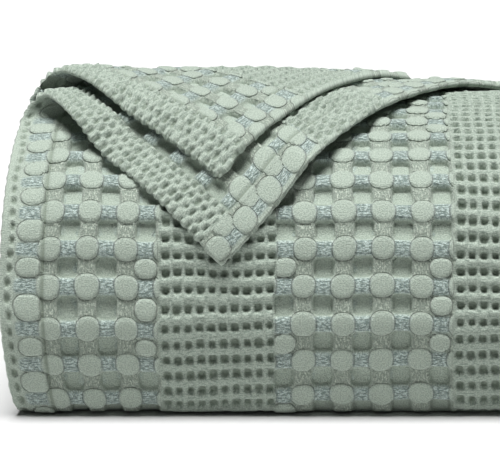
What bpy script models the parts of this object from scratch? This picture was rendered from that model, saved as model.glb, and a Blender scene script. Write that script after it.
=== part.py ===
"""A waffle weave cotton blanket, folded.

The cloth is one flat panel: u runs across it and v along it. It is folded in four across, so that
its two side hems lie together at the left end. That pack of four layers is then laid back and
forth, so that its folds wrap round one another at the front. The top two layers have a corner
each turned back over the front. Lengths are millimetres until the mesh is made, in metres.
x is the distance from the left end, y the depth behind the front, z the height above the floor,
and s the distance along the outer outline, from where it leaves the floor at the front.
"""

import math

import bpy
from mathutils import Vector
from mathutils.geometry import delaunay_2d_cdt

MM = 0.001

# The cloth
WIDTH = 449.0  # of the bundle, and of each of the four layers of the pack
CUT_LENGTH = 2000.0
PACK = 4
THICKNESS = 2.4
HEM_THICKNESS = 3.0
HEM = 22.0

# The bundle: three deep folds and a last straight run, as 28 layers on top of one another
SLOTS = 28
MIDDLE_DEPTH = 74.0  # of the line that the front folds wrap round
OUTLINE = (
    # depth, height: from the floor up the front, over the top and to the back
    (23.4, 0.0),
    (13.5, 0.7),
    (9.5, 3.0),
    (6.8, 8.0),
    (4.2, 17.5),
    (1.5, 36.0),
    (0.0, 55.0),
    (3.0, 69.0),
    (6.8, 83.0),
    (12.0, 100.0),
    (20.0, 113.5),
    (31.0, 124.3),
    (45.0, 133.3),
    (61.0, 140.5),
    (80.0, 146.6),
    (100.0, 150.6),
    (120.0, 152.3),
    (143.0, 152.4),
    (165.0, 150.2),
    (190.0, 144.0),
    (218.0, 134.5),
    (250.0, 120.0),
    (290.0, 99.0),
)
WIDEST = 6  # the outline's point furthest to the front
END_HEM = 391.0  # s of the outer end of the cloth
STAGGER = 3.0  # how much further each inner layer of the pack reaches at that end
STAGGER_REACH = 160.0
SKEW = 42.0  # how much shorter the outer end lies at the right than at the left
SKEW_X = (10.0, 310.0)
SKEW_REACH = 230.0
TURNS = (
    # depth of the turn, slot that it turns round, whether it is at the top
    (272.0, 3.5, False),
    (268.0, 7.5, True),
    (265.0, 11.5, False),
)

# The turned corners: each turns over a line that starts at the left end and rises to the back
CORNERS = (
    # layer, s of the line at the left end, its slope in degrees, radius of the roll at the left end,
    # in the middle and at its far end, how far the left roll reaches, where the flap comes down on
    # the left, its height over its own layer there, and how much higher it stands further right
    dict(slot=0, start=220.7, slope=22.3, left=8.8, middle=6.4, far=3.2, reach=34.0,
         high=42.0, low=77.0, rest=4.4, puff=12.0),
    dict(slot=1, start=241.0, slope=24.0, left=16.2, middle=9.8, far=5.0, reach=70.0,
         high=44.0, low=103.0, rest=13.8, puff=20.0),
)
PUFF = (195.0, 265.0)  # s plus half of x, where a flap lifts from the front on to its roll
OVER = 9.4  # from the lower flap to the upper one, middle to middle
CLIMB = (-5.0, 3.0)  # how far past the lower fold line the upper flap rises on to the lower one
TAPER = (112.0, 250.0)  # where the rolls go from their middle radius to the far one
TURNED_S = 150.0  # no part of a layer below this s is turned

# The left end, which stands out furthest half way up the front
LEFT_EDGES = (
    # s, how far the outer layer and the second layer stand in from the left end there
    (0.0, 10.5, 12.0),
    (11.0, 8.0, 10.0),
    (24.0, 5.0, 8.0),
    (37.0, 3.4, 7.0),
    (52.0, 1.8, 7.0),
    (77.0, 0.0, 7.0),
    (100.0, 0.6, 7.0),
    (121.0, 1.3, 7.0),
    (155.0, 2.8, 8.0),
    (185.0, 4.5, 10.0),
    (203.0, 5.7, 9.5),
    (217.0, 7.0, 9.0),
    (230.0, 11.5, 8.5),
    (240.0, 13.0, 8.5),
    (255.0, 9.5, 10.5),
    (270.0, 5.0, 13.0),
    (285.0, 3.0, 12.5),
    (300.0, 2.5, 10.0),
)
LATER_INSETS = (9.0, 10.0)  # of those two layers, once the pack has turned
INNER_OUT = 2.0  # how much further out the inner layers lie than the second one
WAVE = 2.2
WAVE_LENGTH = 61.0
WAVE_SHIFT = 1.7  # from one layer's wave to the next
CALM = (150.0, 200.0)  # s where the second layer's wave dies out, below its turned corner
RIGHT_WAVE = 2.0
RIGHT_WAVE_LENGTH = 83.0
END_REACH = 90.0  # how far in from either end the cloth is drawn along by its edge

# The ends
LEFT_FOLD = 2.4  # radius of a fold between neighbouring layers
RIGHT_FOLD = 7.2  # radius of the fold round all four
END_LIFT = 3.5  # how far the left end of the underside rises
LIFT_REACH = 14.0
DROOP = 0.03  # how much lower the top is at each end
DROOP_REACH = 70.0

# Facets
ACROSS_STATIONS = (12.0, 45.0, 140.0, 240.0, 340.0, 401.8)  # u of lines on the outer layer
LEFT_STATIONS = (14.0, 45.0)  # how far from the left fold the inner layers have a line
RIGHT_STATION = 60.0  # and from the right one
TOP_STATIONS = (157.0, 190.0, 230.0)  # depths where a run bends on the top
FLOOR_STATIONS = ((2.0, 8.0, 15.0), (2.0, 12.0), (4.0, 20.0))  # s where each run bends at the floor
FRONT_FACETS = (
    # for each run: s where the curve of the front begins, and the number of its facets
    (24.0, 13),
    (26.0, 9),
    (38.0, 7),
)
OUTER_BENDS = (24.0, 52.0)  # s past that curve where the outer run bends too
RUN_MARGIN = 6.0  # no run bends closer than this to its ends
FLAP_BENDS = (98.0, 198.0, 8)  # s of a flap's first and last bend over the front, their number
FLAP_SHARES = (0.1, 0.5, 0.9)  # of the way that a flap comes down
ROLL_STATIONS = (
    # distances along a fold line, closest where its roll narrows
    -90.0, -75.0, -60.0, -45.0, -30.0, -15.0, 0.0, 15.0, 30.0, 45.0, 60.0, 75.0, 90.0,
    125.0, 165.0, 215.0, 270.0, 325.0, 380.0, 430.0, 480.0,
)
ROLL_MARGIN = 1.0  # how far before a roll the layer's own lines stop
FOLD_STEPS = 4
TURN_STEPS = 5
ROLL_STEPS = 6
LENGTH_SAMPLES = 400  # along a line of the flat cloth, to find where it stops at a turned corner
WIDTH_SAMPLES = 200
BORDER_SAMPLES = 96
SNAP = 0.05  # points of the flat cloth this close together are one
HAIR = 0.001
FLAT_ROUNDS = 16
COLOUR = (0.24, 0.29, 0.235, 1.0)


def smooth(value, low, high):
    t = min(max((value - low) / (high - low), 0.0), 1.0)
    return t * t * (3.0 - 2.0 * t)


# ---- the outline of the section ----

def chord_lengths(points):
    lengths = [0.0]
    for (y0, z0), (y1, z1) in zip(points, points[1:]):
        lengths.append(lengths[-1] + math.hypot(y1 - y0, z1 - z0))
    return lengths


OUTLINE_S = chord_lengths(OUTLINE)


def outline_slope(i):
    """Direction of the outline at one of its points, from its neighbours."""
    a, b = max(i - 1, 0), min(i + 1, len(OUTLINE) - 1)
    span = OUTLINE_S[b] - OUTLINE_S[a]
    return [(OUTLINE[b][k] - OUTLINE[a][k]) / span for k in (0, 1)]


def outline(s):
    """(depth, height) of the outer outline at s, flat on the floor before its first point."""
    if s <= 0.0:
        return OUTLINE[0][0] - s, 0.0
    i = 0
    while i < len(OUTLINE) - 2 and s > OUTLINE_S[i + 1]:
        i += 1
    span = OUTLINE_S[i + 1] - OUTLINE_S[i]
    t = (s - OUTLINE_S[i]) / span
    if t > 1.0:
        slope = outline_slope(i + 1)
        return tuple(OUTLINE[i + 1][k] + slope[k] * (s - OUTLINE_S[i + 1]) for k in (0, 1))
    start, end = ((-1.0, 0.0) if i == 0 else outline_slope(i)), outline_slope(i + 1)
    h1, h2 = t * t * (3 - 2 * t), t * (1 - t) * (1 - t) * span
    h3 = -t * t * (1 - t) * span
    return tuple(
        OUTLINE[i][k] * (1 - h1) + OUTLINE[i + 1][k] * h1 + start[k] * h2 + end[k] * h3
        for k in (0, 1)
    )


def outward(s):
    """(depth, height) of the unit normal of the outline at s."""
    (y0, z0), (y1, z1) = outline(s - 1.0), outline(s + 1.0)
    length = math.hypot(y1 - y0, z1 - z0)
    return (z0 - z1) / length, (y1 - y0) / length


def top_s(depth):
    """s of the top of the bundle at this depth."""
    low, high = OUTLINE_S[WIDEST], OUTLINE_S[-1] + 100.0
    for _ in range(40):
        middle = 0.5 * (low + high)
        if outline(middle)[0] < depth:
            low = middle
        else:
            high = middle
    return low


def top_height(depth):
    return outline(top_s(depth))[1]


MIDDLE_HEIGHT = 0.5 * top_height(MIDDLE_DEPTH)


def slot_height(depth, slot):
    """Height of a layer's middle at this depth, slots counted up from the floor."""
    top = top_height(max(depth, MIDDLE_DEPTH))
    return 0.5 * THICKNESS + slot * (top - THICKNESS) / (SLOTS - 1)


def wrapped(s, slot):
    """(depth, height) of the middle of a layer, slots counted from the outside to the centre."""
    y, z = outline(s)
    half = 0.5 * top_height(y) if y > MIDDLE_DEPTH else MIDDLE_HEIGHT
    share = (0.5 * THICKNESS + slot * 2.0 * (half - 0.5 * THICKNESS) / (SLOTS - 1)) / half
    if y < MIDDLE_DEPTH:
        y = MIDDLE_DEPTH + (1.0 - share) * (y - MIDDLE_DEPTH)
    return y, half + (1.0 - share) * (z - half)


# ---- the way of the pack, back and forth ----

def sections():
    """Each run, turn or last run of the pack, with where it starts and ends along the cloth."""
    bend = top_s(MIDDLE_DEPTH)
    rows, v, s, slot, down = [], 0.0, END_HEM, 0, True
    for depth, centre, at_top in TURNS:
        stop = top_s(depth) if at_top else OUTLINE[0][0] - depth
        shorter = 0.0 if slot == 0 else bend * (slot + 0.5 * PACK) * 2.0 / SLOTS
        length = abs(stop - s) - shorter
        rows.append(dict(kind="run", v=v, end=v + length, s0=s, s1=stop, first=slot, down=down))
        v += length
        gap = (top_height(depth) - THICKNESS) / (SLOTS - 1)
        turn = math.pi * (PACK - 0.5) * gap
        rows.append(dict(kind="turn", v=v, end=v + turn, depth=depth, centre=centre, top=at_top,
                         first=slot, down=down, gap=gap))
        v, s, slot, down = v + turn, stop, slot + PACK, not down
    rows.append(dict(kind="last", v=v, end=CUT_LENGTH, depth=TURNS[-1][0], first=slot, down=down))
    return rows


SECTIONS = sections()


def slot_of(section, layer):
    """The pack turns over at each turn, so its layers come in either order."""
    return section["first"] + (layer if section["down"] else PACK - 1 - layer)


def stagger(x, v, layer):
    """How much further than the outer layer's left end the pack reaches at its outer end."""
    askew = SKEW * smooth(x, *SKEW_X) * (1.0 - smooth(v, 0.0, SKEW_REACH))
    return STAGGER * layer * (1.0 - smooth(v, 0.0, STAGGER_REACH)) - askew


def section_of(v):
    for section in SECTIONS:
        if v <= section["end"]:
            return section
    return SECTIONS[-1]


def along(x, v, layer):
    """(depth, height) of the middle of this layer of the pack, and s where it is on a run."""
    section = section_of(v)
    t = (v - section["v"]) / (section["end"] - section["v"])
    slot = slot_of(section, layer)
    if section["kind"] == "run":
        s = section["s0"] + t * (section["s1"] - section["s0"])
        if section["first"] == 0:
            s += stagger(x, v, layer)
        return wrapped(s, slot), s
    if section["kind"] == "turn":
        arm = section["centre"] - slot
        angle = math.pi * t
        turned = section["centre"] - arm * math.cos(angle)
        y = section["depth"] + abs(arm) * section["gap"] * math.sin(angle)
        up = SLOTS - 1 - turned if section["top"] else turned
        return (y, slot_height(section["depth"], up)), None
    y = section["depth"] - t * (section["end"] - section["v"])
    return (y, slot_height(y, slot)), None


# ---- across the pack ----

ARC_RIGHT = math.pi * RIGHT_FOLD
ARC_SMALL = math.pi * LEFT_FOLD
RUN_OUTER = WIDTH - RIGHT_FOLD  # outer layer, from its hem to the right fold
RUN_INNER = WIDTH - RIGHT_FOLD - LEFT_FOLD
U_RIGHT = RUN_OUTER
U_FOURTH = U_RIGHT + ARC_RIGHT
U_LEFT = U_FOURTH + RUN_INNER
U_THIRD = U_LEFT + ARC_SMALL
U_SECOND_FOLD = U_THIRD + RUN_INNER
U_SECOND = U_SECOND_FOLD + ARC_SMALL
CUT_WIDTH = U_SECOND + RUN_OUTER


def arc(centre_x, radius, u, length, first, last):
    angle = math.pi * u / length
    layer = 0.5 * (first + last) + 0.5 * (first - last) * math.cos(angle)
    return centre_x + radius * math.sin(angle), layer


def across(u):
    """(x, layer of the pack) for u: out along layer 0, back along 3, out along 2, back along 1."""
    fold_x = WIDTH - RIGHT_FOLD
    if u <= U_RIGHT:
        return u, 0.0
    if u <= U_FOURTH:
        return arc(fold_x, RIGHT_FOLD, u - U_RIGHT, ARC_RIGHT, 0.0, 3.0)
    if u <= U_LEFT:
        return fold_x - (u - U_FOURTH), 3.0
    if u <= U_THIRD:
        return arc(LEFT_FOLD, -LEFT_FOLD, u - U_LEFT, ARC_SMALL, 3.0, 2.0)
    if u <= U_SECOND_FOLD:
        return LEFT_FOLD + (u - U_THIRD), 2.0
    if u <= U_SECOND:
        return arc(fold_x, LEFT_FOLD, u - U_SECOND_FOLD, ARC_SMALL, 2.0, 1.0)
    return fold_x - (u - U_SECOND), 1.0


def edge_inset(s, column):
    """A column of the left edges at s, from the rows on either side."""
    rows = LEFT_EDGES
    if s <= rows[0][0]:
        return rows[0][column]
    for low, high in zip(rows, rows[1:]):
        if s < high[0]:
            return low[column] + (high[column] - low[column]) * (s - low[0]) / (high[0] - low[0])
    return rows[-1][column]


def left_inset(v, layer):
    """How far the left end of a layer stands in from the left end of the bundle."""
    s = END_HEM - v
    wave = WAVE * math.sin(v / WAVE_LENGTH + WAVE_SHIFT * layer)
    if v >= SECTIONS[0]["end"]:
        outer, second = (inset + wave for inset in LATER_INSETS)
    else:
        outer, second = edge_inset(s, 1), edge_inset(s, 2) + wave * (1.0 - smooth(s, *CALM))
    if layer < 0.5:
        return outer
    return second if layer < 1.5 else second - INNER_OUT


def across_place(u, v):
    """(x, layer), with the ends of the layers as uneven as they lie."""
    x, layer = across(u)
    x += left_inset(v, layer) * (1.0 - smooth(x, 0.0, END_REACH))
    right = RIGHT_WAVE * (1.0 + math.sin(v / RIGHT_WAVE_LENGTH))
    return x - right * smooth(x, WIDTH - END_REACH, WIDTH), layer


# ---- the turned corners ----

def roll_radius(corner, t):
    far = smooth(t, *TAPER)
    base = corner["middle"] * (1.0 - far) + corner["far"] * far
    return base + (corner["left"] - corner["middle"]) * math.exp(-((t / corner["reach"]) ** 2))


def corner_axes(corner):
    slope = math.radians(corner["slope"])
    return (math.cos(slope), math.sin(slope)), (-math.sin(slope), math.cos(slope))


def corner_place(corner, x, s):
    """(distance along the fold line, distance behind it)."""
    (ax, ay), (nx, ny) = corner_axes(corner)
    return x * ax + (s - corner["start"]) * ay, x * nx + (s - corner["start"]) * ny


def from_corner(corner, t, d):
    (ax, ay), (nx, ny) = corner_axes(corner)
    return t * ax + d * nx, corner["start"] + t * ay + d * ny


def flap_height(corner, x, s):
    """Height over its own layer of the turned part that lies at (x, s)."""
    t, d = corner_place(corner, x, s)
    crest = 2.0 * roll_radius(corner, t)
    rest = min(corner["rest"], crest)
    roll = rest + (crest - rest) * (1.0 - smooth(-d, corner["high"], corner["low"]))
    puff = rest + corner["puff"] * smooth(s + 0.5 * x, *PUFF)
    return max(roll, min(puff, crest))


def turned(corner, x, s):
    """(x, s, height) once the part behind the fold line is rolled over it."""
    t, d = corner_place(corner, x, s)
    radius = roll_radius(corner, t)
    half = 0.5 * math.pi * radius
    if d <= -half:
        return x, s, 0.0
    if d < half:
        angle = (d + half) / radius
        x, s = from_corner(corner, t, -half + radius * math.sin(angle))
        return x, s, radius * (1.0 - math.cos(angle))
    x, s = from_corner(corner, t, -d)
    height = flap_height(corner, x, s)
    if corner["slot"] == 1:
        risen = smooth(-corner_place(CORNERS[0], x, s)[1], *CLIMB)
        height += risen * max(flap_height(CORNERS[0], x, s) + OVER - height, 0.0)
    return x, s, height


# ---- folding the cloth ----

def settled(x, y, z):
    """The ends of the bundle lift from the floor and droop at the top."""
    middle = 0.5 * top_height(max(y, MIDDLE_DEPTH))
    if z < middle:
        reach = max(0.0, 1.0 - x / LIFT_REACH)
        return z + END_LIFT * reach * reach * (1.0 - z / middle)
    end = max(0.0, 1.0 - x / DROOP_REACH) ** 2 + max(0.0, 1.0 - (WIDTH - x) / DROOP_REACH) ** 2
    return z - DROOP * end * (z - middle)


def folded(u, v):
    """Where the point (u, v) of the flat cloth lies in the folded blanket."""
    x, layer = across_place(u, v)
    (y, z), s = along(x, v, layer)
    for corner in CORNERS:
        if v < SECTIONS[0]["end"] and layer == corner["slot"] and s > TURNED_S:
            x, s, height = turned(corner, x, s)
            y, z = wrapped(s, corner["slot"])
            ny, nz = outward(s)
            y, z = y + ny * height, z + nz * height
    return x, y, settled(x, y, z)


# ---- the lines along which the flat cloth bends ----

def steps(first, last, count):
    return [first + (last - first) * i / count for i in range(count + 1)]


def across_lines():
    """u of the lines that run along the cloth."""
    lines = [0.0, HEM, *ACROSS_STATIONS]
    lines += steps(U_RIGHT, U_FOURTH, FOLD_STEPS)
    lines += [U_FOURTH + RIGHT_STATION, *(U_LEFT - reach for reach in LEFT_STATIONS)]
    lines += steps(U_LEFT, U_THIRD, FOLD_STEPS - 1)
    lines += [*(U_THIRD + reach for reach in LEFT_STATIONS), U_SECOND_FOLD - RIGHT_STATION]
    lines += steps(U_SECOND_FOLD, U_SECOND, FOLD_STEPS - 1)
    lines += [U_SECOND + RIGHT_STATION, CUT_WIDTH - RIGHT_STATION, CUT_WIDTH - HEM, CUT_WIDTH]
    return lines


def run_stations(section):
    """s where a run bends: every few millimetres round the front, and seldom on the flat."""
    run = section["first"] // PACK
    bend = top_s(MIDDLE_DEPTH)
    curve, facets = FRONT_FACETS[run]
    stations = [*FLOOR_STATIONS[run], *steps(curve, bend, facets)]
    if run == 0:
        stations += [bend + further for further in OUTER_BENDS]
    stations += [top_s(depth) for depth in TOP_STATIONS]
    low, high = sorted((section["s0"], section["s1"]))
    return [s for s in stations if low + RUN_MARGIN < s < high - RUN_MARGIN]


def along_lines():
    """v of the lines that run across the cloth."""
    lines = [0.0, HEM]
    for section in SECTIONS:
        if section["kind"] == "run":
            span = section["s1"] - section["s0"]
            length = section["end"] - section["v"]
            for s in run_stations(section):
                lines.append(section["v"] + length * (s - section["s0"]) / span)
        elif section["kind"] == "turn":
            lines += steps(section["v"], section["end"], TURN_STEPS)
        else:
            lines += [section["end"] - HEM, section["end"]]
    return sorted(lines)


def at_border(value, length):
    """The value, or the edge of the cloth where it lies within a hair of it."""
    for border in (0.0, length):
        if abs(value - border) < SNAP:
            return border
    return value


def flat_point(corner, x, s):
    """The flat cloth's (u, v) for a point (x, s) of a turned layer before it is turned."""
    v = END_HEM - s
    for _ in range(FLAT_ROUNDS):
        v = END_HEM - s + stagger(x, v, corner["slot"])
    flat_x = x
    for _ in range(FLAT_ROUNDS):
        u = flat_x if corner["slot"] == 0 else CUT_WIDTH - flat_x
        flat_x += x - across_place(u, v)[0]
    u = flat_x if corner["slot"] == 0 else CUT_WIDTH - flat_x
    return at_border(u, CUT_WIDTH), at_border(v, CUT_LENGTH)


def corner_lines(corner):
    """Lines over a turned corner, in its layer's flat (x, s): along the roll, and along the flap."""
    lines = []
    for share in steps(-1.0, 1.0, ROLL_STEPS):
        lines.append([
            from_corner(corner, t, share * 0.5 * math.pi * roll_radius(corner, t))
            for t in ROLL_STATIONS
        ])
    span = corner["low"] - corner["high"]
    for share in FLAP_SHARES:
        d = corner["high"] + share * span
        lines.append([from_corner(corner, t, d) for t in ROLL_STATIONS])
    for s in steps(*FLAP_BENDS):
        line = []
        for x in steps(0.0, ROLL_STATIONS[-1], BORDER_SAMPLES):
            t, d = corner_place(corner, x, s)
            line.append(from_corner(corner, t, -d))
        lines.append(line)
    return lines


# ---- the mesh ----

def turned_over(u, v):
    """Whether this point of the flat cloth is past the start of a turned corner's roll."""
    x, layer = across_place(u, v)
    for corner in CORNERS:
        if layer == corner["slot"] and v < SECTIONS[0]["end"]:
            s = along(x, v, layer)[1]
            t, d = corner_place(corner, x, s)
            if s > TURNED_S and d > -0.5 * math.pi * roll_radius(corner, t) - ROLL_MARGIN:
                return True
    return False


def pieces_of(line, keep):
    """The stretches of a line of points that are kept, cut off where they stop."""
    found, current = [], []
    for a, b in zip(line, line[1:]):
        kept_a, kept_b = keep(*a), keep(*b)
        if kept_a and not current:
            current = [a]
        if kept_a != kept_b:
            low, high = (a, b) if kept_a else (b, a)
            for _ in range(30):
                middle = (0.5 * (low[0] + high[0]), 0.5 * (low[1] + high[1]))
                if keep(*middle):
                    low = middle
                else:
                    high = middle
            if kept_a:
                found.append(current + [low])
                current = []
            else:
                current = [low, b]
        elif kept_b:
            current.append(b)
    if current:
        found.append(current)
    return found


def straightened(piece):
    return [piece[0], piece[-1]]


def flat_lines():
    """All the lines of the flat cloth along which it bends, as lists of (u, v)."""
    lines = []
    for u in across_lines():
        samples = [(u, v) for v in steps(0.0, CUT_LENGTH, LENGTH_SAMPLES)]
        lines += [straightened(p) for p in pieces_of(samples, lambda u, v: not turned_over(u, v))]
    for v in along_lines():
        samples = [(u, v) for u in steps(0.0, CUT_WIDTH, WIDTH_SAMPLES)]
        lines += [straightened(p) for p in pieces_of(samples, lambda u, v: not turned_over(u, v))]
    for corner in CORNERS:
        def on_layer(x, s):
            t, d = corner_place(corner, x, s)
            rolled = d > -0.5 * math.pi * roll_radius(corner, t) - HAIR
            end = END_HEM + stagger(x, 0.0, corner["slot"])
            return rolled and 0.0 <= x <= RUN_OUTER and s <= end
        for line in corner_lines(corner):
            for piece in pieces_of(line, on_layer):
                piece = straightened(piece) if len(line) > len(ROLL_STATIONS) else piece
                lines.append([flat_point(corner, x, s) for x, s in piece])
    return lines


def cloth_mesh():
    """The folded cloth as an open surface, and each of its points on the flat cloth."""
    border = [(0.0, 0.0), (CUT_WIDTH, 0.0), (CUT_WIDTH, CUT_LENGTH), (0.0, CUT_LENGTH)]
    points, edges = [Vector(p) for p in border], []
    for line in flat_lines():
        first = len(points)
        points += [Vector(p) for p in line]
        edges += [(i, i + 1) for i in range(first, len(points) - 1)]
    flat, _, faces, _, _, _ = delaunay_2d_cdt(points, edges, [(0, 1, 2, 3)], 1, SNAP)
    mesh = bpy.data.meshes.new("blanket")
    mesh.from_pydata([Vector(folded(u, v)) * MM for u, v in flat], [], [list(f) for f in faces])
    return mesh, flat


def cotton():
    material = bpy.data.materials.new("sage_cotton")
    material.use_nodes = True
    shader = material.node_tree.nodes["Principled BSDF"]
    shader.inputs["Base Color"].default_value = COLOUR
    shader.inputs["Roughness"].default_value = 0.9
    shader.inputs["Metallic"].default_value = 0.0
    return material


def in_hem(u, v):
    return min(u, CUT_WIDTH - u, v, CUT_LENGTH - v) < HEM + 0.5


def give_thickness(blanket, flat):
    """Cloth on both sides of the surface, and more of it in the hems."""
    hems = blanket.vertex_groups.new(name="hems")
    hems.add([i for i, (u, v) in enumerate(flat) if in_hem(u, v)], 1.0, "REPLACE")
    solid = blanket.modifiers.new("thickness", "SOLIDIFY")
    solid.thickness = HEM_THICKNESS * MM
    solid.offset = 0.0
    solid.use_quality_normals = True
    solid.vertex_group = hems.name
    solid.thickness_vertex_group = THICKNESS / HEM_THICKNESS


def centre(blanket):
    """The origin comes to the middle of the bundle's box, on the floor."""
    bpy.context.view_layer.update()
    corners = blanket.evaluated_get(bpy.context.evaluated_depsgraph_get()).bound_box
    for axis in (0, 1):
        values = [corner[axis] for corner in corners]
        blanket.location[axis] = -0.5 * (min(values) + max(values))


def main():
    for obj in list(bpy.data.objects):
        bpy.data.objects.remove(obj)
    collection = bpy.data.collections.new("waffle_blanket")
    bpy.context.scene.collection.children.link(collection)
    mesh, flat = cloth_mesh()
    mesh.shade_smooth()
    mesh.materials.append(cotton())
    blanket = bpy.data.objects.new("blanket", mesh)
    collection.objects.link(blanket)
    give_thickness(blanket, flat)
    centre(blanket)


main()
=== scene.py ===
"""The looks of the folded waffle weave blanket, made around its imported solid.

The cloth is one flat panel: u runs across it and v along it. It lies in the folds of its solid: in
four across, then back and forth with its folds wrapped round one another at the front, and with a
corner of each of its top two layers turned back. Lengths are millimetres until a mesh is made, in
metres. x is the distance from the left end, y the depth behind the front, z the height above the
floor, and s the distance along the outer outline, from where it leaves the floor at the front.
The arrays of a patch have one row for each v and one column for each u.
"""

import math

import bpy
import numpy as np
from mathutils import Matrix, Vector


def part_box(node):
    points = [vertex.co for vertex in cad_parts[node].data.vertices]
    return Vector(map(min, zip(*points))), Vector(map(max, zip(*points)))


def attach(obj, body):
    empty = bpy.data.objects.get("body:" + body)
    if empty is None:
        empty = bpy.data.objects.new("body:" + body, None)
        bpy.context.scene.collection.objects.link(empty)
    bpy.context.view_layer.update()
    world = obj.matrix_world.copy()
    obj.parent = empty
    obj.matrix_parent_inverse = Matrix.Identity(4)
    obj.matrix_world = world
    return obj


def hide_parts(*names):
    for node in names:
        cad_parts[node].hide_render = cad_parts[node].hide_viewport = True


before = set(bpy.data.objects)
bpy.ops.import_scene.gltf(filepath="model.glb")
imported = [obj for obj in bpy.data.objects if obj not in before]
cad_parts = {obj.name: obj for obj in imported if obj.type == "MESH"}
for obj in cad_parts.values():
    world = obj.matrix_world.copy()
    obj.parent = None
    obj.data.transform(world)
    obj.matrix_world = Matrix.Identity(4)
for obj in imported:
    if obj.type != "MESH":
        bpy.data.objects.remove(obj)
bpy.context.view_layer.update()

MM = 0.001

# The cloth and the bundle, as the solid has them
WIDTH = 449.0
CUT_LENGTH = 2000.0
PACK = 4  # layers of the pack
THICKNESS = 2.4  # of the solid's sheet
HEM = 22.0
SLOTS = 28  # layers of cloth from the floor to the top
MIDDLE_DEPTH = 74.0  # depth of the line that the layers wrap round
OUTLINE = np.array((
    # depth, height: from the floor up the front, over the top and to the back
    (23.4, 0.0),
    (13.5, 0.7),
    (9.5, 3.0),
    (6.8, 8.0),
    (4.2, 17.5),
    (1.5, 36.0),
    (0.0, 55.0),
    (3.0, 69.0),
    (6.8, 83.0),
    (12.0, 100.0),
    (20.0, 113.5),
    (31.0, 124.3),
    (45.0, 133.3),
    (61.0, 140.5),
    (80.0, 146.6),
    (100.0, 150.6),
    (120.0, 152.3),
    (143.0, 152.4),
    (165.0, 150.2),
    (190.0, 144.0),
    (218.0, 134.5),
    (250.0, 120.0),
    (290.0, 99.0),
))
WIDEST = 6  # the outline's point furthest to the front
TABLE_BEYOND = 100.0  # how far past its last point the outline is looked up
TABLE_POINTS = 4000
END_HEM = 391.0  # s of the cloth's outer end
STAGGER = 3.0  # how much further each layer reaches there than the one outside it
STAGGER_REACH = 160.0
SKEW = 42.0  # how much less far the outer end reaches at the right
SKEW_X = (10.0, 310.0)
SKEW_REACH = 230.0
TURNS = (
    # depth of the turn, slot that it turns round, whether it is at the top
    (272.0, 3.5, False),
    (268.0, 7.5, True),
    (265.0, 11.5, False),
)

# The turned corners: the slot of the layer; s of the fold line at the left end, and its slope in
# degrees; the radius of the roll at the left end, in the middle and far off, and how far the first
# one reaches; the distances from the fold line over which the roll sinks, the height that it comes
# down to, and how far it puffs up at most
CORNERS = (
    dict(slot=0, start=220.7, slope=22.3, left=8.8, middle=6.4, far=3.2, reach=34.0,
         high=42.0, low=77.0, rest=4.4, puff=12.0),
    dict(slot=1, start=241.0, slope=24.0, left=16.2, middle=9.8, far=5.0, reach=70.0,
         high=44.0, low=103.0, rest=13.8, puff=20.0),
)
PUFF = (195.0, 265.0)
LEAN = 0.5  # of x, by which the puff lies further forward
OVER = 9.4  # how much higher over its own layer the upper corner lies across the lower one
CLIMB = (-5.0, 3.0)
TAPER = (112.0, 250.0)
TURNED_S = 150.0  # both fold lines lie beyond it
LEFT_EDGES = np.array((
    # s, how far the outer layer and the second layer stand in from the left end there
    (0.0, 10.5, 12.0),
    (11.0, 8.0, 10.0),
    (24.0, 5.0, 8.0),
    (37.0, 3.4, 7.0),
    (52.0, 1.8, 7.0),
    (77.0, 0.0, 7.0),
    (100.0, 0.6, 7.0),
    (121.0, 1.3, 7.0),
    (155.0, 2.8, 8.0),
    (185.0, 4.5, 10.0),
    (203.0, 5.7, 9.5),
    (217.0, 7.0, 9.0),
    (230.0, 11.5, 8.5),
    (240.0, 13.0, 8.5),
    (255.0, 9.5, 10.5),
    (270.0, 5.0, 13.0),
    (285.0, 3.0, 12.5),
    (300.0, 2.5, 10.0),
))
LATER_INSETS = (9.0, 10.0)  # of the outer and the second layer after the first run
INNER_OUT = 2.0  # how much less the layers within stand in
WAVE = 2.2  # how uneven the left ends of the layers are
WAVE_LENGTH = 61.0
WAVE_SHIFT = 1.7
CALM = (150.0, 200.0)  # s over which the second layer's end grows even
RIGHT_WAVE = 2.0
RIGHT_WAVE_LENGTH = 83.0
END_REACH = 90.0  # from either end, as far as its unevenness goes
LEFT_FOLD = 2.4  # radius of the fold at the left end, and of the inner one at the right
RIGHT_FOLD = 7.2  # radius of the outer fold at the right end
END_LIFT = 3.5  # of the underside, at the left end
LIFT_REACH = 14.0
DROOP = 0.03  # at the ends, of the height over the middle
DROOP_REACH = 70.0

# The weave: broad bands of round pads and square pockets between narrow bands of small cells
PERIOD = 162.3
BAND_START = 150.7  # u where one broad band starts
BROAD = 99.0
PAD_PITCH_U = 21.6
FIRST_POCKET = 5.1
PAD_PITCH_V = 20.95
FIRST_PAD_V = 9.9
LAST_POCKET = 4  # the number of a broad band's last column of pockets
BULGING = 0.1  # pockets at a band's edge bulge where their scatter is above this
SUNK = 3.2  # how far the lower rows hang down at the left
SUNK_U = (90.0, 170.0)
SUNK_V = (301.0, 326.0)
CELL_PITCH_U = 6.43
FIRST_CELL_U = 3.3
BORDER = 0.8  # from the middle of a border between bands to either side
FAR = 3.0  # a reach outside all pads or holes

# How the yarns wander: size and length of a wave, size and length of the bends in it, and then
# size, length and slant of a finer wave
WANDER_ACROSS = ((0.5, 23.0, 0.9, 41.0), (0.35, 9.1, 31.0))
WANDER_ALONG = ((0.6, 29.0, 0.8, 37.0), (0.35, 8.3, -27.0))

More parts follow.
